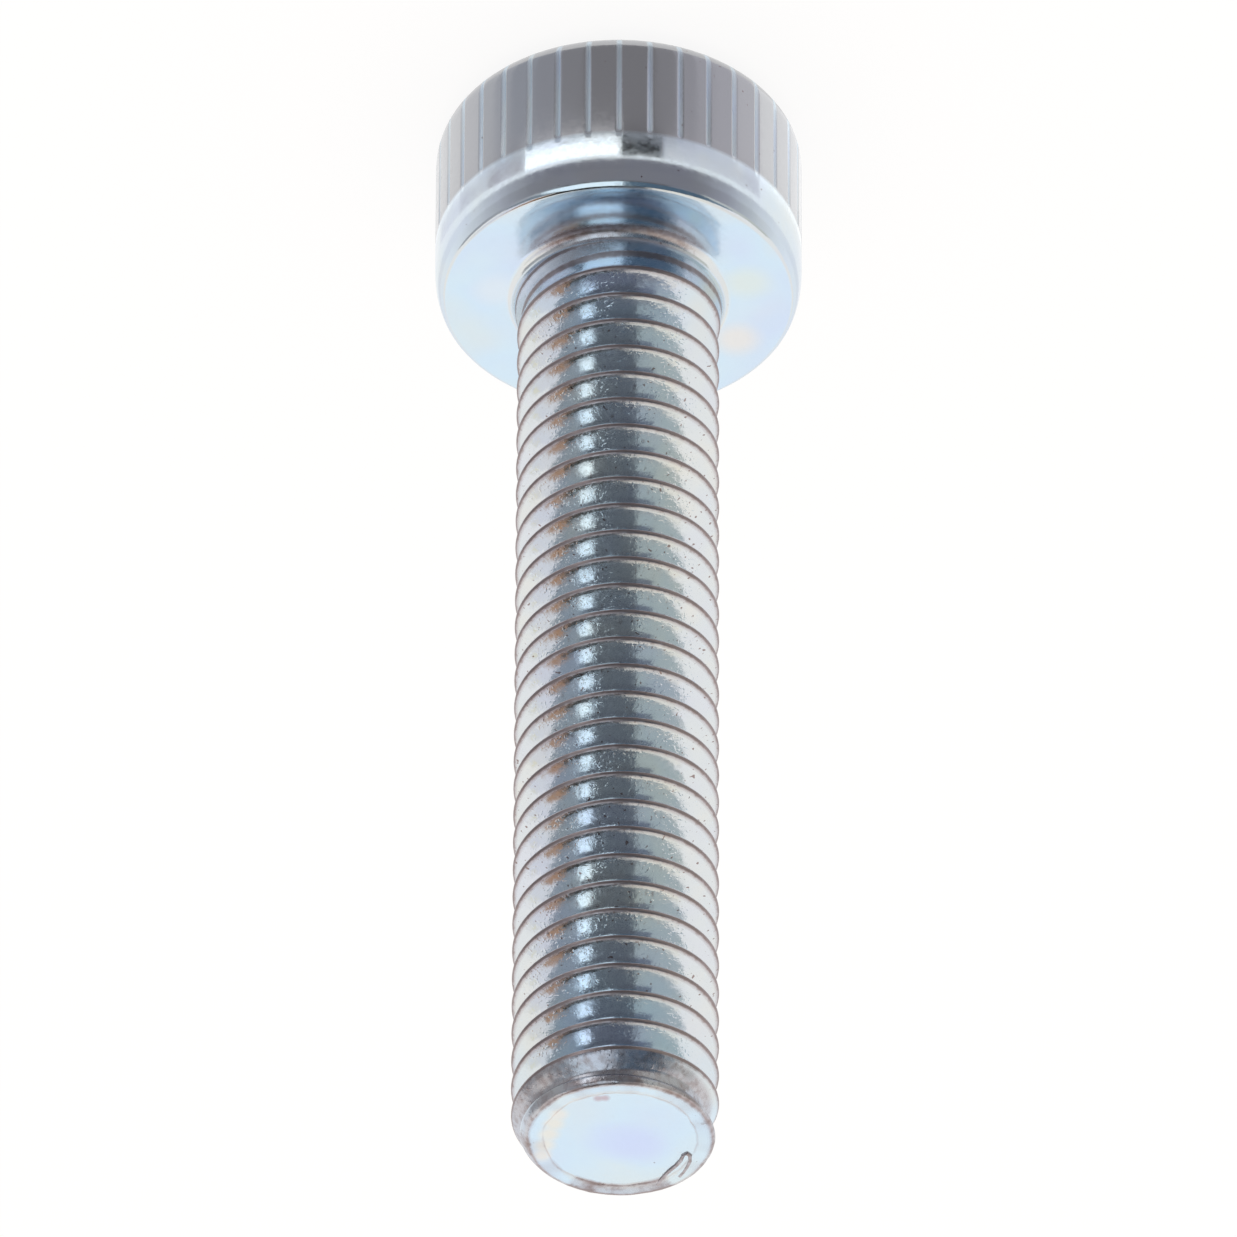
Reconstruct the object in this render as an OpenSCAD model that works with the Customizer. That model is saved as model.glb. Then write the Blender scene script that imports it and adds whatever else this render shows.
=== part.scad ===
// Metric hex socket cap screw with a knurled head, threaded up to the head.
// Frame: origin at the centre of the face under the head, +Z along the shank towards its tip.
// All sizes in millimetres. The screw stands on the flat top of its head.

/* [Thread] */
// Outside diameter that the thread is named for
thread_diameter = 3; // [2.8:0.1:3.2]
// Small amount that a rolled thread measures under its named diameter
thread_under_size = 0.02; // [0:0.01:0.1]
// Distance from one thread crest to the next
thread_pitch = 0.5; // [0.4:0.05:0.7]
// Length from the face under the head to the tip
length_under_head = 15.7; // [8:0.1:20]
// Width of the flat along each crest, as a part of the pitch
crest_flat = 0.125; // [0.05:0.005:0.25]
// Width of the flat along each root, as a part of the pitch
root_flat = 0.2; // [0.1:0.01:0.3]
// Height of the first full crest above the face under the head
first_crest = 0.61; // [0.5:0.01:0.8]
// Turns over which the groove deepens next to the head
run_in_turns = 2; // [1:0.1:4]
// Turns over which the groove fades next to the tip
run_out_turns = 1; // [0.5:0.1:3]

/* [Tip] */
// Diameter of the flat end
tip_diameter = 2.62; // [2.3:0.02:2.7]
// Diameter of the low ridge behind the flat end
ridge_diameter = 2.74; // [2.72:0.01:2.84]
// Length from the last crest to the flat end
tip_length = 0.5; // [0.4:0.02:0.8]
// Length of the ridge, from its foot to the flat end
ridge_length = 0.2; // [0.1:0.01:0.3]
// How far the ridge stands out from its foot
ridge_height = 0.015; // [0.005:0.005:0.04]

/* [Head] */
// Diameter over the knurl
head_diameter = 5.42; // [5.25:0.01:5.8]
// Height of the head
head_height = 3; // [2.6:0.05:3.6]
// Rounding of the top edge of the head
head_rounding = 0.5; // [0.1:0.05:0.7]
// Diameter of the flat face under the head
face_diameter = 5.08; // [4.4:0.02:5.2]
// Height of the tapered edge next to the face under the head
taper_height = 0.52; // [0.2:0.02:0.7]

/* [Knurl] */
// Number of straight grooves around the head
groove_count = 37; // [24:1:60]
// Depth of each groove
groove_depth = 0.07; // [0.03:0.01:0.15]
// Width of each groove at the surface
groove_width = 0.15; // [0.06:0.01:0.24]
// Smooth band left between the grooves and the face under the head
smooth_band = 0.83; // [0.75:0.01:1.4]

/* [Hex socket] */
// Distance across the flats of the socket
across_flats = 2.5; // [2:0.05:3]
// Depth of the flats below the top of the head
socket_depth = 1.5; // [1:0.05:1.8]
// Depth of the cone that leads into the socket
socket_lead = 0.18; // [0.05:0.01:0.3]
// Depth of the shallow cone at the bottom of the socket
socket_cone = 0.4; // [0.1:0.05:0.5]

/* [Neck] */
// Diameter where the fillet under the head starts
fillet_diameter = 3.42; // [3.2:0.02:3.8]
// Height of the fillet along the shank
fillet_height = 0.22; // [0.1:0.01:0.35]

/* [Hidden] */
// Facets in one turn of the thread
turn_facets = 32;
step = 360 / turn_facets;
// The 60 degree thread form, cut off at crest and root by the flats
crest_r = (thread_diameter - thread_under_size) / 2;
thread_depth = (0.5 - crest_flat / 2 - root_flat / 2) * thread_pitch / tan(30);
// Corners of one pitch, as parts of it: root start, root end, crest start, crest end
corner_at = [0.5 - root_flat / 2, 0.5 + root_flat / 2, 1 - crest_flat / 2, 1 + crest_flat / 2];
corner_deep = [1, 1, 0, 0];
corners = len(corner_at);
tip_r = tip_diameter / 2;
ridge_r = ridge_diameter / 2;
cone_z = length_under_head - tip_length;
ridge_z = length_under_head - ridge_length;
// Rings round the ridge: part of its length left to the flat end, and how far each lies inside its crown
ridge_rings = [[1, ridge_height], [0.625, 0], [0.2, 0.01]];
// The last crest ends this far before the foot of the ridge
crest_to_ridge = 0.04;
// Columns of the helical strip, which starts one turn inside the head
turns = (ridge_z - crest_to_ridge - first_crest) / thread_pitch + 2 - corner_at[corners - 1];
columns = floor(turn_facets * turns);
// Where the shank's surface starts, inside the head
buried_z = -0.45;
across_corners = across_flats / cos(30);
fillet_r = fillet_diameter / 2;
// The fillet's arc ends this deep inside the shank
fillet_buried = 0.2;
fillet_end = crest_r - fillet_buried;
// The lead into the socket starts this far outside its corners
lead_beyond_corners = 0.02;
// Radius left at the point of the socket's cone
cone_point_r = 0.02;
// How far a cutting tool reaches past the surface that it cuts, and past the tool before it
overcut = 0.5;
overlap = 0.001;

function mix(a, b, t) = a + (b - a) * t;
function clamp01(t) = max(0, min(1, t));
function ease(t) = t * t * (3 - 2 * t);

// Radius outside the thread at height z: straight, then a cone down to the neck of the ridge
function blank_r(z) = mix(crest_r, ridge_r - ridge_height, clamp01((z - cone_z) / (ridge_z - cone_z)));

// How much of its full depth the groove has at a column
function groove_part(column) =
    ease(clamp01(column / turn_facets / run_in_turns))
    * ease(clamp01((columns - column) / turn_facets / run_out_turns));

// A corner of the thread form at a column of the helix
function thread_point(column, corner) =
    let (
        z = first_crest + thread_pitch * (corner_at[corner] - 2 + column / turn_facets),
        r = blank_r(z) - thread_depth * corner_deep[corner] * groove_part(column)
    )
    on_column(column, r, z);

function on_column(column, r, z) =
    let (a = 90 + (column % turn_facets) * step)
    [r * cos(a), r * sin(a), z];

function ring(r, z) = [for (c = [0 : turn_facets - 1]) on_column(c, r, z)];

// The shank and its thread as one closed surface: a ring inside the head, the helical strip of the
// thread, the rings of the tip, and the flat end
module shank() {
    helix = [for (c = [0 : columns]) for (k = [0 : corners - 1]) thread_point(c, k)];
    tip_rings = [
        for (g = ridge_rings) [ridge_r - g[1], length_under_head - g[0] * ridge_length],
        [tip_r, length_under_head]
    ];
    n = turn_facets;
    top = corners - 1;
    first_ring = len(helix);
    points = concat(helix, ring(crest_r, buried_z), [for (t = tip_rings) each ring(t[0], t[1])]);
    function h(c, k) = c * corners + k;
    function bottom(c) = first_ring + c % n;
    function tip(i, c) = first_ring + n * (i + 1) + c % n;
    // Two triangles of a four sided cell, seen from outside as a, b, c, d against the clock
    function cell(a, b, c, d) = [[c, b, a], [d, c, a]];
    function fan(from, chain) = [for (i = [0 : len(chain) - 2]) [chain[i + 1], chain[i], from]];
    last = columns;
    faces = concat(
        // within a turn, and from the crest of one turn to the root of the next
        [for (c = [0 : last - 1]) for (k = [0 : top - 1])
            each cell(h(c, k), h(c + 1, k), h(c + 1, k + 1), h(c, k + 1))],
        [for (c = [0 : last - n - 1]) each cell(h(c, top), h(c + 1, top), h(c + 1 + n, 0), h(c + n, 0))],
        // from the ring inside the head to the first turn
        [for (c = [0 : n - 2]) each cell(bottom(c), bottom(c + 1), h(c + 1, 0), h(c, 0))],
        fan(h(n - 1, 0), [bottom(n - 1), bottom(n), for (k = [0 : top]) h(0, k), h(n, 0)]),
        // from the last turn to the tip
        fan(h(last - n + 1, top), [
            tip(0, last + 1), tip(0, last), for (k = [top : -1 : 0]) h(last, k), h(last - n, top)
        ]),
        [for (c = [last - n + 1 : last - 1]) each cell(h(c, top), h(c + 1, top), tip(0, c + 1), tip(0, c))],
        [for (i = [0 : len(tip_rings) - 2]) for (c = [0 : n - 1])
            each cell(tip(i, c), tip(i, c + 1), tip(i + 1, c + 1), tip(i + 1, c))],
        [[for (c = [0 : n - 1]) bottom(c)]],
        [[for (c = [n - 1 : -1 : 0]) tip(len(tip_rings) - 1, c)]]
    );
    polyhedron(points, faces, convexity = 10);
}

// Half of the head's outline: flat top, rounded edge, side, rounded taper, face, fillet
module head_outline() {
    r = head_diameter / 2;
    face_r = face_diameter / 2;
    corner = head_rounding;
    polygon(concat(
        [[0, -head_height]],
        [for (a = [0 : 7.5 : 90]) [
            r - corner + corner * sin(a),
            -head_height + corner - corner * cos(a)
        ]],
        [for (a = [0 : 11.25 : 90]) [
            face_r + (r - face_r) * cos(a),
            -taper_height * (1 - sin(a))
        ]],
        [for (a = [0 : 15 : 90]) [
            fillet_end + (fillet_r - fillet_end) * (1 - sin(a)),
            fillet_height * (1 - cos(a))
        ]],
        [[0, fillet_height]]
    ));
}

module socket() {
    lead_r = across_corners / 2 + lead_beyond_corners;
    translate([0, 0, -head_height - overcut])
        cylinder(h = socket_depth + overcut, d = across_corners, $fn = 6);
    // the cone at the bottom starts at the flats
    translate([0, 0, -head_height + socket_depth - overlap])
        cylinder(h = socket_cone, r1 = across_flats / 2, r2 = cone_point_r);
    // the lead is a 45 degree cone
    translate([0, 0, -head_height - overcut])
        cylinder(h = socket_lead + overcut, r1 = lead_r + overcut, r2 = lead_r - socket_lead);
}

module knurl_grooves() {
    r = head_diameter / 2;
    out = 0.1 * overcut;
    half = groove_width / 2 + out;
    for (i = [0 : groove_count - 1]) rotate(90 + i * 360 / groove_count)
        translate([r, 0, -head_height - overcut]) linear_extrude(head_height + overcut - smooth_band)
            polygon([[-groove_depth, 0], [out, -half], [out, half]]);
}

module head() difference() {
    rotate_extrude() head_outline();
    socket();
    knurl_grooves();
}

module cap_screw() color([0.78, 0.82, 0.86]) union() {
    head();
    shank();
}

cap_screw();
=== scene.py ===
"""Looks for a hex socket cap screw: headed, knurled and thread-rolled steel, zinc plated, standing on its head."""

import math

import bmesh
import bpy
from mathutils import Matrix, Vector, noise


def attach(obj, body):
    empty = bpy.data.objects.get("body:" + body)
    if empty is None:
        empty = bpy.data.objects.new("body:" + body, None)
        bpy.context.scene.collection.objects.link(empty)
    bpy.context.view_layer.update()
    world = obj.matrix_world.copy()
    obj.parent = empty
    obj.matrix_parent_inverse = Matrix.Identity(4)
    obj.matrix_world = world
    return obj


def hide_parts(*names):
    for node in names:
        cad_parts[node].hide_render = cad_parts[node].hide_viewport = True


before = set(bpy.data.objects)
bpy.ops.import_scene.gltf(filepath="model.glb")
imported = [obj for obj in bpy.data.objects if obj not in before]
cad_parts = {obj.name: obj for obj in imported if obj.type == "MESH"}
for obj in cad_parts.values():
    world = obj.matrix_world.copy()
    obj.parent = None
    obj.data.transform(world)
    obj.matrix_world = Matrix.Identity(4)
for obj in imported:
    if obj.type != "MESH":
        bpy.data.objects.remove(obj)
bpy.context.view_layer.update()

# Everything is modelled in millimetres in the CAD frame, and MM brings a finished mesh to metres
MM = 0.001

# Thread: 60 degree form, rolled up to the head
CREST_R = 1.49
PITCH = 0.5
THREAD_DEPTH = 0.316
FIRST_CREST = 0.61
TURN_STEPS = 96
# Steps round the crest, down the flank and into the root. The side towards the head is hardly seen
HEAD_SIDE_STEPS = (3, 3, 2)
TIP_SIDE_STEPS = (4, 6, 3)
# The flank's lean is the angle between its normal and the axis. A worn die leaves it slightly hollow
LEAN_AT_CREST, LEAN_AT_ROOT = 27, 41
HOLLOW = 1.2
CREST_ROUND, ROOT_ROUND = 0.05, 0.035
# Heights between which the groove deepens under the head and fades before the tip
GROOVE_STARTS, GROOVE_FULL = 0.26, 0.9
GROOVE_FADES, GROOVE_ENDS = 14.95, 15.62
# The blank swells a little towards the head over this height
FLARE, FLARE_HEIGHT = 0.05, 0.7
# The shank is cut square here, and the neck and the tip are drawn on from the cuts
NECK_CUT, TIP_CUT = 0.16, 15.46

# Head
HEAD_R = 2.71
HEAD_TOP = -3.0
TOP_ROUNDING = 0.5
TOP_STEPS = 10
FACE_R = 2.54
TAPER = 0.52
TAPER_STEPS = 9
FILLET_R = 1.71
FILLET_STEPS = 8
GROOVES = 37
KNURL_DEPTH = 0.03
KNURL_WIDTH = 0.1
# Where the vertices of half a groove stand, in parts of its half width. One more stands mid-land
KNURL_AT = (0.0, 0.3, 0.65, 0.9, 1.08, 1.4)
STEPS_PER_GROOVE = 2 * len(KNURL_AT)
# The grooves run out over this height, just before the smooth band
SMOOTH_BAND = 0.95
KNURL_RUN_OUT = 0.08

# Hex socket
ACROSS_FLATS = 2.5
SOCKET_DEPTH = 1.5
SOCKET_CONE = 0.4
LEAD_R = 1.48
LEAD_DEPTH = 0.18

# Tip
TIP = 15.7
TIP_R = 1.3
RIDGE_R = 1.37
RIDGE_HEIGHT = 0.015
# The last crest is drawn in to a cone from here, over this length
CONE_STARTS, CONE_LENGTH = TIP - 0.5, 0.3
# The cropped end lies a little off the axis, leans back, and is sunk a little
END_OFF = (0.076, 0.045)
END_LEAN = 0.009
END_SUNK = 0.006
# How uneven the edge of the cropped end is
END_ROUGH = 0.022
# Inside this radius the end steps down
STEP_R = TIP_R - 0.17
# The tip from the foot of the ridge to near the axis: radius, height from TIP, and how far it is rubbed
TIP_RINGS = (
    (RIDGE_R - RIDGE_HEIGHT, -0.2, 0.45), (RIDGE_R + 0.003, -0.175, 0.3), (RIDGE_R + 0.008, -0.14, 0.45),
    (RIDGE_R, -0.07, 0.5), (RIDGE_R - 0.02, -0.03, 0.5), (TIP_R + 0.02, -0.012, 0.6),
    (TIP_R, -0.004, 0.45), (TIP_R - 0.03, -0.001, 0.2), (TIP_R - 0.07, -0.002, 0.15),
    (STEP_R, -0.004, 0.15), (STEP_R - 0.03, -0.016, 0.35), (STEP_R - 0.05, -0.021, 0.1),
    (STEP_R - 0.1, -0.024, 0.0), (0.8, -0.022, 0.0), (0.5, -0.024, 0.0), (0.2, -0.026, 0.0),
)
# The sliver that cropping left curled on the end face, from the end's centre
SLIVER = (
    (0.535, -1.07), (0.6, -0.93), (0.69, -0.77), (0.8, -0.62), (0.87, -0.5), (0.9, -0.39), (0.95, -0.33),
    (1.0, -0.38), (1.005, -0.5), (0.96, -0.64), (0.91, -0.76), (0.85, -0.87),
)
SLIVER_R = 0.03
SLIVER_SUNK = 0.028

# Attribute that says how far the plating is rubbed and stained, and where painted shade, a painted dark reflection and
# the darkened first root lie, 0 to 1
WEAR_AND_SHADE = "wear_and_shade"
# Depth below the crest to which its edge is rubbed and darkened as a painted dark reflection, and the share of that on
# the side towards the head
CREST_EDGE = 0.05
HEAD_SIDE_SHARE = 0.4
# Above here the last flank is rubbed where the screw was driven against its stop
LAST_FLANK, LAST_FLANK_WORN = 15.05, 0.48
# Up to here the neck is dulled
NECK_TOP, NECK_WORN = 0.7, 0.28
# How dark the painted shade in the fillet's front is
FILLET_SHADE = 0.65
SLIVER_WORN = 0.6
# The shallow first root is darkened: its height, and its reach from mid-root in parts of a pitch
DARK_ROOT_TOP, DARK_ROOT_REACH, DARK_ROOT_AMOUNT = 0.75, 0.13, 0.8

# Attribute for the flat faces and both ends of the thread, where the film is painted bluer as a painted blue
# reflection
BLUE_REFLECTION = "blue_reflection"
BLUE_REFLECTION_MOST = 0.55
# Attribute for the grooves of the knurl, which the wheel leaves rough
GROOVED = "grooved"


def polar(r, angle, z):
    return Vector((r * math.cos(angle), r * math.sin(angle), z))


def ease(t):
    t = min(1.0, max(0.0, t))
    return t * t * (3 - 2 * t)


def move_ring(verts, r, z):
    """Puts each vertex at radius r and height z on its own bearing. Both may be functions of the angle."""
    for v in verts:
        angle = math.atan2(v.co.y, v.co.x)
        v.co = polar(r(angle) if callable(r) else r, angle, z(angle) if callable(z) else z)


def next_ring(bm, edges, r, z, wear_and_shade=0.0):
    """Draws the surface on from an open ring of edges to radius r and height z, and returns the new ring."""
    grown = bmesh.ops.extrude_edge_only(bm, edges=edges)["geom"]
    verts = [g for g in grown if isinstance(g, bmesh.types.BMVert)]
    move_ring(verts, r, z)
    layer = bm.verts.layers.float.get(WEAR_AND_SHADE)
    if layer:
        for v in verts:
            v[layer] = wear_and_shade(math.atan2(v.co.y, v.co.x)) if callable(wear_and_shade) else wear_and_shade
    return [g for g in grown if isinstance(g, bmesh.types.BMEdge) and len(g.link_faces) == 1]


def close_ring(bm, edges, z):
    """Draws an open ring in to one point on the axis."""
    ring = next_ring(bm, edges, 0.02, z)
    verts = list(dict.fromkeys(v for e in ring for v in e.verts))
    bmesh.ops.pointmerge(bm, verts=verts, merge_co=(0, 0, z))


def open_ring(bm, height, reach=0.002):
    """The open edges that lie at one height."""
    return [e for e in bm.edges if len(e.link_faces) == 1 and all(abs(v.co.z - height) < reach for v in e.verts)]


def thread_side(crest_steps, flank_steps, root_steps):
    """One side of the thread form, crest to root, as (distance along the axis, depth)."""
    lean = [90 + (LEAN_AT_CREST - 90) * i / crest_steps for i in range(crest_steps + 1)]
    crest = [
        (CREST_ROUND * math.cos(math.radians(a)), CREST_ROUND * (1 - math.sin(math.radians(a)))) for a in lean
    ]
    lean = [LEAN_AT_ROOT + (90 - LEAN_AT_ROOT) * i / root_steps for i in range(root_steps + 1)]
    root = [
        (
            PITCH / 2 - ROOT_ROUND * math.cos(math.radians(a)),
            THREAD_DEPTH - ROOT_ROUND * (1 - math.sin(math.radians(a))),
        ) for a in lean
    ]
    run, drop = [0.0], [0.0]
    for i in range(flank_steps):
        part = (i + 0.5) / flank_steps
        a = math.radians(LEAN_AT_CREST + (LEAN_AT_ROOT - LEAN_AT_CREST) * part ** HOLLOW)
        run.append(run[-1] + math.sin(a))
        drop.append(drop[-1] + math.cos(a))
    (a0, d0), (a1, d1) = crest[-1], root[0]
    flank = [
        (a0 + (a1 - a0) * run[i] / run[-1], d0 + (d1 - d0) * drop[i] / drop[-1]) for i in range(1, flank_steps)
    ]
    return crest + flank + root


def rolled_thread(bm):
    """One pitch of the form is screwed round for one turn, the turn is repeated, and both ends are shaped."""
    form = [(-a, d) for a, d in reversed(thread_side(*HEAD_SIDE_STEPS))] + thread_side(*TIP_SIDE_STEPS)[1:]
    start = math.pi / 2
    layer = bm.verts.layers.float.new(WEAR_AND_SHADE)
    verts = [bm.verts.new(polar(CREST_R - d, start, FIRST_CREST - 2 * PITCH + a)) for a, d in form]
    edges = [bm.edges.new(pair) for pair in zip(verts, verts[1:])]
    for v, (along, depth) in zip(verts, form):
        # the crest's edge is rubbed, and the same mark paints the crest's dark grazing reflection as a dark line
        v[layer] = max(0.0, 1 - depth / CREST_EDGE) * (1.0 if along > -0.01 else HEAD_SIDE_SHARE)
    bmesh.ops.spin(
        bm, geom=verts + edges, cent=(0, 0, 0), axis=(0, 0, 1), angle=2 * math.pi, steps=TURN_STEPS,
        dvec=(0, 0, PITCH / TURN_STEPS), use_merge=False,
    )
    turn = bm.faces[:]
    for i in range(1, int((TIP - FIRST_CREST) / PITCH) + 3):
        copy = bmesh.ops.duplicate(bm, geom=turn)["geom"]
        verts = [g for g in copy if isinstance(g, bmesh.types.BMVert)]
        bmesh.ops.translate(bm, verts=verts, vec=(0, 0, i * PITCH))
    bmesh.ops.remove_doubles(bm, verts=bm.verts[:], dist=0.0005)
    for v in bm.verts:
        v[layer] = max(v[layer], thread_wear_and_dark_root(shape_end(v), v.co.z))
    for height, side in ((NECK_CUT, -1), (TIP_CUT, 1)):
        bmesh.ops.bisect_plane(
            bm, geom=bm.verts[:] + bm.edges[:] + bm.faces[:], dist=1e-5,
            plane_co=(0, 0, height), plane_no=(0, 0, side), clear_outer=True,
        )


def shape_end(v):
    """Makes the groove shallower under the head and before the tip, and draws the last crest in to a cone.
    Returns where the vertex lies in its pitch, 0 to 1, with the root at a half."""
    angle = (math.atan2(v.co.y, v.co.x) - math.pi / 2) % (2 * math.pi) / (2 * math.pi)
    in_pitch = ((v.co.z - FIRST_CREST) / PITCH - angle) % 1.0
    groove_z = v.co.z + PITCH * (0.5 - in_pitch)
    part = ease((groove_z - GROOVE_STARTS) / (GROOVE_FULL - GROOVE_STARTS))
    part *= ease((GROOVE_ENDS - groove_z) / (GROOVE_ENDS - GROOVE_FADES))
    depth = CREST_R - math.hypot(v.co.x, v.co.y)
    cone = (CREST_R - RIDGE_R + RIDGE_HEIGHT) * ease((v.co.z - CONE_STARTS) / CONE_LENGTH)
    flare = FLARE * max(0.0, 1 - v.co.z / FLARE_HEIGHT)
    r = CREST_R + flare - depth * part - cone
    v.co = polar(r, math.atan2(v.co.y, v.co.x), v.co.z)
    return in_pitch


def thread_wear_and_dark_root(in_pitch, z):
    """How far the darkened first root, the last flank's wear and the dull neck reach at one place of the thread."""
    dark_root = DARK_ROOT_AMOUNT * ease((DARK_ROOT_REACH - abs(in_pitch - 0.5)) / 0.07) * ease((DARK_ROOT_TOP - z) / 0.2)
    return max(dark_root, LAST_FLANK_WORN * ease((z - LAST_FLANK) / 0.12), NECK_WORN * ease((NECK_TOP - z) / 0.3))


def wander(angle, seed, waves=2.0):
    """A number between about -1 and 1 that drifts smoothly round the axis."""
    return noise.noise(Vector((math.cos(angle) * waves, math.sin(angle) * waves, seed)))


def tip(bm):
    """The low ridge that the rolling dies leave, the rubbed edge of the cropped end, and the end face."""
    ring = open_ring(bm, TIP_CUT)
    for r, z, wear_and_shade in TIP_RINGS:
        rough = END_ROUGH * ease((0.16 + z) / 0.12) if r > 0.9 else 0.0
        swing = 1.6 if abs(r - STEP_R) < 0.05 else 0.5
        ring = next_ring(
            bm, ring,
            lambda a: r + rough * swing * (wander(a, 1.0) + 0.6 * wander(a, 4.0, 7.0)),
            lambda a: TIP + z - rough * 0.35 * abs(wander(a, 7.0, 9.0)),
            lambda a: end_worn(a, wear_and_shade) if r > STEP_R - 0.06 else 0.0,
        )
    close_ring(bm, ring, TIP + TIP_RINGS[-1][1])
    for v in bm.verts:
        part = ease((v.co.z - TIP_CUT) / 0.22)
        lean = END_LEAN * (v.co.y - TIP_R) - END_SUNK
        v.co += Vector((END_OFF[0] * part, END_OFF[1] * part, part * lean))


def end_worn(angle, wear_and_shade):
    """The edge of the end is rubbed unevenly, and most at its back."""
    return wear_and_shade + 0.3 * wander(angle, 9.0, 4.0) + (0.3 if math.sin(angle) < -0.8 else 0.0)


def sliver(bm):
    """The curled sliver: a bead drawn along its path, half sunk in the end face."""
    path = [
        Vector((x + END_OFF[0], y + END_OFF[1], TIP - SLIVER_SUNK + END_LEAN * (y - TIP_R))) for x, y in SLIVER
    ]
    ways = [b - a for a, b in zip(path, path[1:])]
    ways.append(ways[-1])
    bearing = [math.atan2(w.y, w.x) for w in ways]
    place = Matrix.Translation(path[0]) @ Matrix.Rotation(bearing[0], 4, "Z") @ Matrix.Rotation(math.pi / 2, 4, "Y")
    made = bmesh.ops.create_circle(bm, cap_ends=True, segments=8, radius=SLIVER_R, matrix=place)["verts"]
    ring = list(dict.fromkeys(e for v in made for e in v.link_edges))
    layer = bm.verts.layers.float.get(WEAR_AND_SHADE)
    for v in made:
        v[layer] = SLIVER_WORN
    for i in range(1, len(path)):
        grown = bmesh.ops.extrude_edge_only(bm, edges=ring)["geom"]
        verts = [g for g in grown if isinstance(g, bmesh.types.BMVert)]
        bmesh.ops.translate(bm, verts=verts, vec=path[i] - path[i - 1])
        turn = Matrix.Rotation(bearing[i] - bearing[i - 1], 3, "Z")
        bmesh.ops.rotate(bm, verts=verts, cent=path[i], matrix=turn)
        for v in verts:
            v[layer] = SLIVER_WORN
        ring = [g for g in grown if isinstance(g, bmesh.types.BMEdge) and len(g.link_faces) == 1]
    bmesh.ops.edgeloop_fill(bm, edges=ring)


def neck(bm):
    """The fillet from the shank out to the face under the head, with painted shade at its front, towards the camera.
    """
    ring = open_ring(bm, NECK_CUT)
    foot_r = CREST_R + FLARE * (1 - NECK_CUT / FLARE_HEIGHT)
    for i in range(1, FILLET_STEPS + 1):
        a = math.pi / 2 * i / FILLET_STEPS
        r, z = foot_r + (FILLET_R - foot_r) * (1 - math.cos(a)), NECK_CUT * (1 - math.sin(a))
        # painted shade: the fillet darkens towards the face under the head, and only on the side facing the camera
        wear_and_shade = FILLET_SHADE * math.sin(a) ** 0.6
        ring = next_ring(bm, ring, r, z, lambda at: wear_and_shade * ease((math.sin(at) - 0.5) / 0.4))
    next_ring(bm, ring, FILLET_R + 0.1, 0.0)


def head_outline():
    """From the face under the head, round the tapered edge, up the side and over the top edge, as (r, z)."""
    outline = [(FILLET_R + 0.25, 0.0), (2.3, 0.0), (FACE_R, 0.0)]
    for i in range(1, TAPER_STEPS + 1):
        a = math.pi / 2 * i / TAPER_STEPS
        outline.append((FACE_R + (HEAD_R - FACE_R) * math.sin(a), -TAPER * (1 - math.cos(a))))
    outline += [(HEAD_R, z) for z in (-0.7, -0.85, -SMOOTH_BAND)]
    outline += [(HEAD_R, -SMOOTH_BAND - past) for past in (0.03, 0.06, 0.09, 0.3, 0.7, 1.1, 1.35)]
    for i in range(TOP_STEPS + 1):
        a = math.pi / 2 * i / TOP_STEPS
        outline.append((
            HEAD_R - TOP_ROUNDING * (1 - math.cos(a)), HEAD_TOP + TOP_ROUNDING * (1 - math.sin(a)),
        ))
    outline += [(1.9, HEAD_TOP), (1.6, HEAD_TOP)]
    return outline


def head():
    """The head's outline turned about the axis, with the knurl pressed in and the socket sunk, as a mesh."""
    bm = bmesh.new()
    layer = bm.verts.layers.float.new(GROOVED)
    verts = [bm.verts.new(polar(r, math.pi / 2, z)) for r, z in head_outline()]
    edges = [bm.edges.new(pair) for pair in zip(verts, verts[1:])]
    bmesh.ops.spin(
        bm, geom=verts + edges, cent=(0, 0, 0), axis=(0, 0, 1), angle=2 * math.pi,
        steps=GROOVES * STEPS_PER_GROOVE, use_merge=True,
    )
    for v in bm.verts:
        v[layer] = press_knurl(v)
    socket(bm, open_ring(bm, HEAD_TOP))
    mesh = bpy.data.meshes.new("head")
    bm.to_mesh(mesh)
    bm.free()
    return mesh


def press_knurl(v):
    """Straight grooves, which run out just before the smooth band. The vertices crowd towards each groove.
    Returns how far the vertex lies in a groove, 0 to 1."""
    angle = math.atan2(v.co.y, v.co.x)
    r = math.hypot(v.co.x, v.co.y)
    spacing = 2 * math.pi / GROOVES
    off = ((angle - math.pi / 2) / spacing + 0.5) % 1.0 - 0.5
    i = round(abs(off) * STEPS_PER_GROOVE)
    across = KNURL_AT[i] * KNURL_WIDTH / 2 if i < len(KNURL_AT) else spacing / 2 * HEAD_R
    angle += math.copysign(across / HEAD_R, off) - off * spacing
    groove = max(0.0, 1 - across / (KNURL_WIDTH / 2))
    run_out = ease((-v.co.z - SMOOTH_BAND) / KNURL_RUN_OUT)
    v.co = polar(min(r, HEAD_R - KNURL_DEPTH * groove * run_out), angle, v.co.z)
    return min(1.0, 2 * groove) * run_out if r > HEAD_R - 0.1 else 0.0


def hex_r(angle):
    """Distance from the axis to the hexagon's wall."""
    return ACROSS_FLATS / 2 / math.cos((angle + math.pi / 6) % (math.pi / 3) - math.pi / 6)


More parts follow.
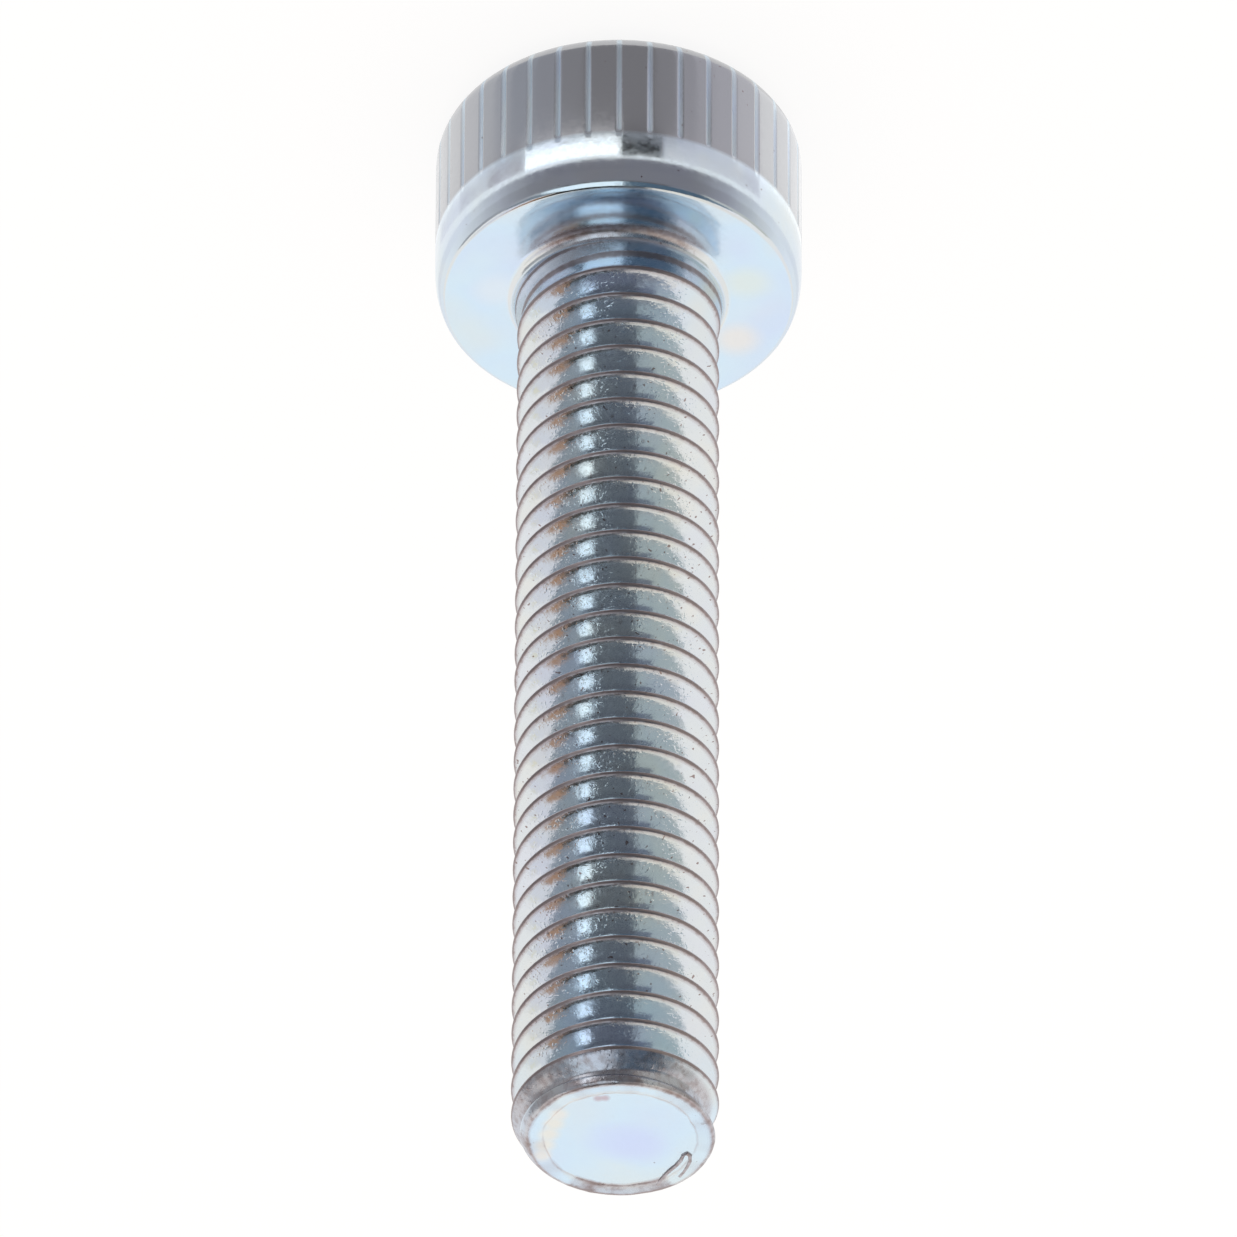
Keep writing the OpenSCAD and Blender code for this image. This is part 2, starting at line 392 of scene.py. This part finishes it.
def socket(bm, ring):
    """The cone that leads in, the six walls, and the shallow cone that the punch leaves at the bottom."""
    ring = next_ring(bm, ring, LEAD_R, HEAD_TOP)
    slope = LEAD_DEPTH / (LEAD_R - ACROSS_FLATS / 2)
    ring = next_ring(bm, ring, hex_r, lambda a: HEAD_TOP + slope * (LEAD_R - hex_r(a)))
    ring = next_ring(bm, ring, hex_r, HEAD_TOP + SOCKET_DEPTH)
    ring = next_ring(bm, ring, ACROSS_FLATS / 2 - 0.06, HEAD_TOP + SOCKET_DEPTH + 0.02)
    ring = next_ring(bm, ring, 0.3, HEAD_TOP + SOCKET_DEPTH + SOCKET_CONE)
    close_ring(bm, ring, HEAD_TOP + SOCKET_DEPTH + SOCKET_CONE + 0.06)


def mark_blue_reflection(bm):
    """Marks the end face, the face under the head, and the thread next to both of them, where the film is painted
    bluer as a painted blue reflection.
    """
    layer = bm.verts.layers.float.new(BLUE_REFLECTION)
    for v in bm.verts:
        r, z = math.hypot(v.co.x, v.co.y), v.co.z
        near_tip = ease((z - 13) / 2)
        near_head = ease((2.5 - z) / 2) if z > 0.1 else 0.0
        on_end = z > TIP - 0.06 and r < TIP_R
        on_face = abs(z) < 0.01 and r < FACE_R + 0.01
        v[layer] = BLUE_REFLECTION_MOST * (1.0 if on_end or on_face else max(near_tip, near_head))


def cap_screw():
    """The whole screw. The head is joined to the thread by the face under the head."""
    bm = bmesh.new()
    bm.verts.layers.float.new(GROOVED)
    rolled_thread(bm)
    tip(bm)
    sliver(bm)
    neck(bm)
    bm.from_mesh(head())
    bmesh.ops.triangle_fill(
        bm, use_beauty=True, use_dissolve=False, edges=open_ring(bm, 0.0), normal=(0, 0, 1),
    )
    bmesh.ops.remove_doubles(bm, verts=bm.verts[:], dist=0.0002)
    bmesh.ops.dissolve_degenerate(bm, edges=bm.edges[:], dist=0.0002)
    bmesh.ops.recalc_face_normals(bm, faces=bm.faces[:])
    mark_blue_reflection(bm)
    for face in bm.faces:
        face.smooth = True
    bmesh.ops.scale(bm, verts=bm.verts[:], vec=(MM, MM, MM))
    mesh = bpy.data.meshes.new("screw")
    bm.to_mesh(mesh)
    bm.free()
    mesh.set_sharp_from_angle(angle=math.radians(38))
    piece = bpy.data.objects.new("screw", mesh)
    bpy.context.scene.collection.objects.link(piece)
    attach(piece, "root")
    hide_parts("cap_screw")
    return piece


def colour(code):
    """An sRGB hex value as linear red, green, blue and alpha."""
    parts = [int(code[i:i + 2], 16) / 255 for i in (1, 3, 5)]
    return [c / 12.92 if c <= 0.04045 else ((c + 0.055) / 1.055) ** 2.4 for c in parts] + [1.0]


def add(tree, kind, sockets, **settings):
    """Adds a node with its settings. Each socket, by name or number, takes a value, or another node's output."""
    node = tree.nodes.new(kind)
    for name, value in settings.items():
        setattr(node, name, value)
    for name, value in sockets.items():
        if isinstance(value, bpy.types.Node):
            value = value.outputs[0]
        if isinstance(value, bpy.types.NodeSocket):
            tree.links.new(value, node.inputs[name])
        else:
            node.inputs[name].default_value = value
    return node


def mottle(place, size, detail, roughness=0.5):
    """Noise with marks about this many millimetres across."""
    return add(place.id_data, "ShaderNodeTexNoise", {
        "Vector": place, "Scale": 1 / (size * MM), "Detail": detail, "Roughness": roughness,
    })


def span(tree, value, low, high, to_low=0.0, to_high=1.0, **settings):
    """Maps the span between two values on to another, and holds still beyond its ends."""
    return add(tree, "ShaderNodeMapRange", {
        "Value": value, "From Min": low, "From Max": high, "To Min": to_low, "To Max": to_high,
    }, **settings)


def reckon(tree, operation, *values, **settings):
    return add(tree, "ShaderNodeMath", dict(enumerate(values)), operation=operation, **settings)


def over(tree, factor, under, top):
    """Lays one colour over another."""
    return add(tree, "ShaderNodeMix", {"Factor": factor, 6: under, 7: top}, data_type="RGBA").outputs[2]


def ramp(tree, value, stops):
    """Colours along a value, as (position, code)."""
    node = add(tree, "ShaderNodeValToRGB", {"Fac": value})
    elements = node.color_ramp.elements
    for element, (position, code) in zip(elements[:], (stops[0], stops[-1])):
        element.position = position
        element.color = colour(code)
    for position, code in stops[1:-1]:
        elements.new(position).color = colour(code)
    return node


# Stains on the end face and under the head: place in millimetres, reach, and colour
END_Z = 15.67
STAINS = (
    ((0.0, 0.0, END_Z), 0.6, "#d1dcf4"), ((0.35, -0.1, END_Z), 0.6, "#d0d9f4"),
    # a straw streak
    ((-0.8, 0.62, END_Z), 0.2, "#ebe5dc"), ((-0.87, 0.4, END_Z), 0.22, "#ece5d8"),
    ((-0.94, 0.15, END_Z), 0.22, "#ece5d8"), ((-1.0, -0.1, END_Z), 0.22, "#ece5d8"),
    ((-1.04, -0.33, END_Z), 0.2, "#ebe5dc"),
    # a brown mark at the rim
    ((-0.24, 1.0, END_Z), 0.1, "#c3adb3"), ((-0.14, 1.01, END_Z), 0.1, "#c3adb3"),
    # under the head
    ((1.75, -0.9, 0.0), 0.5, "#ebe4dc"), ((1.9, 0.4, 0.0), 0.5, "#dfe6e0"), ((-1.8, 0.2, 0.0), 0.5, "#dfe7ee"),
)


def passivate(tree, place, blue_reflection):
    """The film's colour: a little thicker in places, bluer where the painted blue reflection lies, and stained."""
    plain_film = ramp(tree, mottle(place, 1.3, 3.0, 0.6), ((0.32, "#d8e3f0"), (0.5, "#dae6ee"), (0.68, "#e0e8ea")))
    # painted blue reflection: the film's colour on the flat faces and near the thread's ends
    blue_film_and_reflection = ramp(tree, mottle(place, 1.6, 1.5), ((0.3, "#dde4e0"), (0.48, "#cfe5f4"), (0.7, "#cedaf2")))
    film = over(tree, blue_reflection, plain_film, blue_film_and_reflection)
    for spot, reach, code in STAINS:
        away = add(tree, "ShaderNodeVectorMath", {0: place, 1: Vector(spot) * MM}, operation="DISTANCE")
        near = span(
            tree, away.outputs["Value"], reach * MM, 0.2 * reach * MM, 0.0, 0.8, interpolation_type="SMOOTHSTEP",
        )
        film = over(tree, near, film, colour(code))
    return film


def brown_wear_and_shade(tree, place, height, wear_and_shade, blue_reflection):
    """Where the plating is rubbed brown, unevenly along the edges, where the same brown lays a painted dark reflection
    on the crests and painted shade in the fillet and darkens the first root, and where small stains lie on it.
    """
    edges = span(tree, reckon(tree, "ADD", mottle(place, 0.1, 3.0), wear_and_shade), 0.9, 1.3)
    # there are fewer stains on the head, and hardly any where the painted blue reflection is strongest
    fewer = span(tree, height, 0.0, 0.4 * MM, 0.07, 0.0)
    speck = reckon(tree, "SUBTRACT", mottle(place, 0.06, 0.0), fewer)
    speck = reckon(tree, "SUBTRACT", speck, reckon(tree, "MULTIPLY", blue_reflection, 0.16))
    return reckon(tree, "MAXIMUM", edges, span(tree, speck, 0.77, 0.82))


def uneven_steel(tree, place, height):
    """The steel's own unevenness, which shows through the thin plating, with small pits in it on the thread."""
    strength = span(tree, height, 0.0, 0.4 * MM, 0.35, 1.0)
    swell = add(tree, "ShaderNodeBump", {
        "Height": mottle(place, 0.16, 2.0, 0.45), "Distance": 0.0035 * MM, "Strength": strength,
    })
    pits = span(tree, mottle(place, 0.05, 1.0), 0.56, 0.7)
    for part in (span(tree, mottle(place, 0.45, 1.0), 0.35, 0.62), span(tree, height, 0.2 * MM, 0.7 * MM)):
        pits = reckon(tree, "MULTIPLY", pits, part)
    return add(tree, "ShaderNodeBump", {"Height": pits, "Distance": 0.002 * MM, "Normal": swell})


def zinc_plated_steel():
    """Bright zinc electroplate with a thin blue passivate: a cool silvery mirror over slightly uneven steel, dulled
    by the knurl, and rubbed brown along the crests and round the cropped end. The brown on the crests is also a
    painted dark reflection, the fillet's front holds painted shade, the first root is darkened, and the flat faces
    and the thread's ends hold a painted blue reflection."""
    material = bpy.data.materials.new("zinc_plated_steel")
    material.use_nodes = True
    tree = material.node_tree
    shader = tree.nodes["Principled BSDF"]
    place = add(tree, "ShaderNodeTexCoord", {}).outputs["Object"]
    height = add(tree, "ShaderNodeSeparateXYZ", {0: place}).outputs["Z"]
    wear_and_shade, blue_reflection, grooved = [
        add(tree, "ShaderNodeAttribute", {}, attribute_name=name).outputs["Fac"] for name in (WEAR_AND_SHADE, BLUE_REFLECTION, GROOVED)
    ]
    # rubbed steel is duller and greyer all over before it turns brown; the same greying and brown paint the shade in
    # the fillet's front and the dark reflection on the crests, and darken the first root
    dulled = span(tree, wear_and_shade, 0.1, 0.75)
    film = over(tree, dulled, passivate(tree, place, blue_reflection), colour("#b3acb3"))
    # the wheel leaves the ridges of the knurl darker than its grooves
    knurled = span(tree, height, (0.04 - SMOOTH_BAND) * MM, (-0.04 - SMOOTH_BAND) * MM)
    land = reckon(tree, "SUBTRACT", knurled, grooved, use_clamp=True)
    film = over(tree, land, film, colour("#b4b5b8"))
    # brown where the plating is rubbed; the same brown paints the dark reflection along the crests and the shade in
    # the fillet's front
    base = over(tree, brown_wear_and_shade(tree, place, height, wear_and_shade, blue_reflection), film, colour("#9a8f90"))
    tree.links.new(base, shader.inputs["Base Color"])
    shader.inputs["Metallic"].default_value = 1.0
    # bright, a little duller on the knurl, and satin in its grooves, where it is rubbed, and where the painted shade
    # and the painted dark reflection lie
    rough = span(tree, mottle(place, 0.09, 4.0, 0.7), 0.3, 0.7, 0.09, 0.2)
    for where, more in ((knurled, 0.04), (grooved, 0.25), (dulled, 0.22)):
        rough = reckon(tree, "MULTIPLY_ADD", where, more, rough)
    tree.links.new(rough.outputs[0], shader.inputs["Roughness"])
    tree.links.new(uneven_steel(tree, place, height).outputs[0], shader.inputs["Normal"])
    return material


# Camera: its place is worked out from the photo's perspective. The frame is 1237 pixels square
FRAME_PX = 1237
FOCAL_PX = 20623
DISTANCE = 300.6 * MM
AXIS_ANGLE = math.radians(50.99)
ROLL = 0.0042
AIM = Vector((0.022, 0.0, 6.057)) * MM

# Studio: the screw stands on the floor, and mirrors cards that the camera doesn't see
FLOOR_Z = HEAD_TOP * MM
# How far in millimetres the cards on the floor lie over it, and where they begin and end
CARD_LIFT = 0.02
FLOOR_NEAR, FLOOR_FAR = 11, 900
# Height of the cards overhead, and the distance of the wall behind the camera in parts of it
CARD_HEIGHT = 600 * MM
WALL = 1.25
# Distance of the cards in front of the screw
PANEL_FAR = 450 * MM
# Attribute for how far a place lies round from the front, 0 to 1, and the bearings over which it grows
TURNED = "turned"
TURN_FROM, TURN_TO = 30, 100
# The floor as the taper mirrors it, and a narrow strip bent round the head along the horizon, as (r, z)
TAPER_CARD = ((6.4, HEAD_TOP + CARD_LIFT), (FLOOR_NEAR, HEAD_TOP + CARD_LIFT))
FLAG = ((5.0, -1.05), (5.0, 0.55))

# What the knurl mirrors round the front, between its two ends: bearings, colour and strength
KNURL_HEIGHTS = (-2.95, -SMOOTH_BAND)
KNURL_TONES = (
    (-88, -60, "#ffffff", 1.1), (-60, -50, "#fafafc", 1.0), (-50, -43, "#e6e8ec", 1.0), (-43, -36, "#d2d5dc", 1.0),
    (-36, -27, "#bfc3cc", 1.0), (-27, -19, "#b7b9c1", 1.0), (-19, -12, "#aaaaaf", 1.0), (-12, 12, "#a09fa3", 1.0),
    (12, 18, "#acabb0", 1.0), (18, 25, "#c3c2c9", 1.0), (25, 32, "#d4d3da", 1.0), (32, 40, "#dcdbe2", 1.0),
    (40, 50, "#f0eff4", 1.0), (50, 88, "#ffffff", 1.25),
)
# What the smooth band mirrors, in the same way
BAND_HEIGHTS = (-SMOOTH_BAND, -0.45)
BAND_TONES = (
    ("near_far_left_card", -75, -60, "#efeef2", 1.0), ("near_side_left_card", -60, -45, "#dcd9dd", 1.0),
    ("near_left_card", -45, -31, "#bfb8bb", 1.0), ("near_lit_card", -31, 0, "#ffffff", 1.7),
    ("near_dark_card", 0.8, 14, "#0c0b0d", 1.0), ("near_right_card", 13.5, 50, "#dbd7db", 1.0),
)
# The floor farther out
FLOOR_TONES = (
    ("left_floor_card", -115, -43, "#aba9ab", 1.0), ("lit_floor_card", -43, -27.5, "#ffffff", 1.6),
    ("front_floor_card", -27.5, 26, "#747274", 1.0), ("right_floor_card", 26, 100, "#d0cdc5", 1.0),
)


def plain(name, code, strength):
    """An even glow."""
    material = bpy.data.materials.new(name)
    material.use_nodes = True
    tree = material.node_tree
    tree.nodes.clear()
    glow = add(tree, "ShaderNodeEmission", {"Color": colour(code), "Strength": strength})
    add(tree, "ShaderNodeOutputMaterial", {"Surface": glow})
    return material


def floor_paper():
    """White paper. What the camera, the metal and glass see of it is lifted to white, and it keeps the shadow."""
    material = bpy.data.materials.new("floor_paper")
    material.use_nodes = True
    tree = material.node_tree
    tree.nodes.clear()
    paper = add(tree, "ShaderNodeBsdfDiffuse", {"Color": colour("#fafafa")})
    glow = add(tree, "ShaderNodeEmission", {"Color": colour("#ffffff"), "Strength": 1.02})
    path = add(tree, "ShaderNodeLightPath", {}).outputs
    seen = reckon(tree, "MAXIMUM", path["Is Camera Ray"], path["Is Glossy Ray"])
    seen = reckon(tree, "MAXIMUM", seen, path["Is Transmission Ray"])
    mix = add(tree, "ShaderNodeMixShader", {0: reckon(tree, "MULTIPLY", seen, 0.85), 1: paper, 2: glow})
    add(tree, "ShaderNodeOutputMaterial", {"Surface": mix})
    return material


def show(name, mesh, material):
    """Puts a mesh in the scene as part of the stage."""
    mesh.materials.append(material)
    piece = bpy.data.objects.new(name, mesh)
    bpy.context.scene.collection.objects.link(piece)
    return piece


def sheet(name, corners, material):
    """A flat sheet, corners in metres."""
    bm = bmesh.new()
    bm.faces.new([bm.verts.new(c) for c in corners])
    mesh = bpy.data.meshes.new(name)
    bm.to_mesh(mesh)
    bm.free()
    return show(name, mesh, material)


def hidden(piece):
    """The metal mirrors it, but the camera doesn't see it, and it casts no shadow."""
    piece.visible_camera = False
    piece.visible_diffuse = False
    piece.visible_shadow = False


def card(name, code, strength, corners):
    """An evenly lit sheet for the metal to mirror."""
    hidden(sheet(name, corners, plain(name, code, strength)))


def overhead(name, code, strength, corners, lift=0.0):
    """A card in the plane above, its corners in parts of that plane's height."""
    z = CARD_HEIGHT + lift * CARD_HEIGHT
    card(name, code, strength, [(x * CARD_HEIGHT, y * CARD_HEIGHT, z) for x, y in corners])


def low_card(name, code, strength, corners):
    """A card on the floor, corners in millimetres."""
    card(name, code, strength, [(x * MM, y * MM, FLOOR_Z + CARD_LIFT * MM) for x, y in corners])


def spread(from_angle, to_angle):
    """Bearings every few degrees, in radians."""
    steps = max(1, round(abs(to_angle - from_angle) / 4))
    return [math.radians(from_angle + (to_angle - from_angle) * i / steps) for i in range(steps + 1)]


def on_floor(name, code, strength, from_angle, to_angle):
    """A card that lies on the floor out of the picture: a sector round the screw. Angles are from the front,
    positive to the right."""
    bearings = spread(from_angle, to_angle)
    corners = [(FLOOR_NEAR, a) for a in bearings] + [(FLOOR_FAR, a) for a in reversed(bearings)]
    low_card(name, code, strength, [(r * math.sin(a), r * math.cos(a)) for r, a in corners])


def under_head(name, code, strength, from_angle, to_angle, low, high):
    """A card on the floor that the camera sees in the side of the head, between two bearings and two heights there."""
    bearings = spread(from_angle, to_angle)
    corners = []
    for z, a in [(low, a) for a in bearings] + [(high, a) for a in reversed(bearings)]:
        reach = (z - HEAD_TOP) * math.tan(AXIS_ANGLE)
        corners.append((
            HEAD_R * math.sin(a) + reach * math.sin(2 * a), HEAD_R * math.cos(a) + reach * math.cos(2 * a),
        ))
    low_card(name, code, strength, corners)


def panel(name, code, strength, left, right, low, high):
    """A card in front of the screw, between two bearings and two heights over the horizon, in degrees."""
    corners = [
        (math.radians(a), math.radians(e)) for a, e in ((left, low), (right, low), (right, high), (left, high))
    ]
    card(name, code, strength, [
        (PANEL_FAR * math.cos(e) * math.sin(a), PANEL_FAR * math.cos(e) * math.cos(a), PANEL_FAR * math.sin(e))
        for a, e in corners
    ])


def wall(name, code, strength, left, right, top):
    """A card that stands behind the camera."""
    y = WALL * CARD_HEIGHT
    card(name, code, strength, [
        (left * CARD_HEIGHT, y, FLOOR_Z), (right * CARD_HEIGHT, y, FLOOR_Z),
        (right * CARD_HEIGHT, y, top * CARD_HEIGHT), (left * CARD_HEIGHT, y, top * CARD_HEIGHT),
    ])


def round_card(name, front, side, ends):
    """A card that goes all round the screw, with its two edges given as (r, z). It is darker towards the front."""
    bm = bmesh.new()
    layer = bm.verts.layers.float.new(TURNED)
    verts = [bm.verts.new(polar(r * MM, 0.0, z * MM)) for r, z in ends]
    edge = bm.edges.new(verts)
    bmesh.ops.spin(
        bm, geom=verts + [edge], cent=(0, 0, 0), axis=(0, 0, 1), angle=2 * math.pi, steps=90, use_merge=True,
    )
    for v in bm.verts:
        bearing = abs(math.degrees(math.atan2(v.co.x, v.co.y)))
        v[layer] = ease((bearing - TURN_FROM) / (TURN_TO - TURN_FROM))
    mesh = bpy.data.meshes.new(name)
    bm.to_mesh(mesh)
    bm.free()
    material = plain(name, front, 1.0)
    tree = material.node_tree
    turned = add(tree, "ShaderNodeAttribute", {}, attribute_name=TURNED).outputs["Fac"]
    tone = over(tree, turned, colour(front), colour(side))
    tree.links.new(tone, tree.nodes["Emission"].inputs["Color"])
    hidden(show(name, mesh, material))


def studio():
    """The floor, the pale world round it, and the cards."""
    sheet("floor", [(-2, -2, FLOOR_Z), (2, -2, FLOOR_Z), (2, 2, FLOOR_Z), (-2, 2, FLOOR_Z)], floor_paper())
    world = bpy.data.worlds.new("studio")
    bpy.context.scene.world = world
    world.use_nodes = True
    background = world.node_tree.nodes["Background"]
    background.inputs["Color"].default_value = colour("#fff6ef")
    background.inputs["Strength"].default_value = 1.05
    overhead("cool_card", "#fbfdff", 1.05, [(-1.2, -2.6), (1.2, -2.6), (0.8, -0.75), (-0.8, -0.75)])
    overhead("cream_card", "#fff3e4", 1.0, [(0.13, -0.25), (0.7, -0.35), (0.9, 0.5), (0.2, 0.35)])
    overhead("mauve_card", "#ece6e8", 1.0, [(-1.05, -0.6), (-0.6, -0.5), (-0.6, 0.3), (-1.2, 0.3)])
    overhead("brown_card", "#b28a70", 1.0, [(-0.6, -0.3), (-0.37, -0.25), (-0.42, 0.25), (-0.7, 0.25)])
    overhead("black_card", "#2f312f", 1.0, [(-0.37, -0.25), (0.0, -0.2), (0.0, 0.35), (-0.5, 0.35)])
    overhead("camera_card", "#5c6067", 1.0, [(0.0, -0.2), (0.12, -0.2), (0.2, 0.35), (0.0, 0.35)])
    overhead("front_card", "#3a3b40", 1.0, [(-0.6, 0.35), (0.45, 0.35), (0.7, WALL), (-0.9, WALL)])
    overhead("straw_card", "#f1e2b6", 1.0, [(-1.0, -0.56), (-0.9, -0.54), (-0.88, -0.44), (-0.98, -0.42)], -0.004)
    overhead("front_left_card", "#80878f", 1.0, [(-1.6, 0.35), (-0.6, 0.35), (-0.9, WALL), (-3.2, WALL)])
    overhead("front_right_card", "#83929a", 1.0, [(0.45, 0.35), (1.6, 0.35), (3.2, WALL), (0.7, WALL)])
    panel("front_lit_card", "#f0faff", 1.15, -47, 3, 20, 66)
    panel("front_dark_card", "#566877", 1.0, 3, 60, 20, 60)
    panel("left_side_card", "#aba9ab", 1.0, -110, -45, -2, 25)
    panel("right_side_card", "#d0cdc5", 1.0, 50, 100, -2, 25)
    wall("wall_card", "#6a676a", 1.0, -0.9, 0.7, 1.0)
    wall("right_wall_card", "#86858c", 1.0, 0.7, 2.6, 1.0)
    wall("left_wall_card", "#8e9096", 1.0, -3.2, -0.9, 1.0)
    for from_angle, to_angle, code, strength in KNURL_TONES:
        under_head(f"knurl_card_{to_angle}", code, strength, from_angle, to_angle, *KNURL_HEIGHTS)
    for name, from_angle, to_angle, code, strength in BAND_TONES:
        under_head(name, code, strength, from_angle, to_angle, *BAND_HEIGHTS)
    for name, from_angle, to_angle, code, strength in FLOOR_TONES:
        on_floor(name, code, strength, from_angle, to_angle)
    round_card("taper_card", "#807c82", "#f0f0f4", TAPER_CARD)
    round_card("flag", "#837f84", "#fafafc", FLAG)


def camera():
    """Looks down on the tip, with the head at the top of the picture."""
    data = bpy.data.cameras.new("camera")
    data.sensor_width = 36
    data.lens = FOCAL_PX / FRAME_PX * data.sensor_width
    piece = bpy.data.objects.new("camera", data)
    bpy.context.scene.collection.objects.link(piece)
    back = Vector((0, math.sin(AXIS_ANGLE), math.cos(AXIS_ANGLE)))
    right = Vector((1, 0, 0))
    up = back.cross(right)
    turned_right = right * math.cos(ROLL) + up * math.sin(ROLL)
    turned_up = up * math.cos(ROLL) - right * math.sin(ROLL)
    place = Matrix((turned_right, turned_up, back)).transposed().to_4x4()
    place.translation = AIM + back * DISTANCE
    piece.matrix_world = place
    bpy.context.scene.camera = piece


screw = cap_screw()
screw.data.materials.append(zinc_plated_steel())
studio()
camera()
bpy.context.scene.view_settings.view_transform = "Standard"
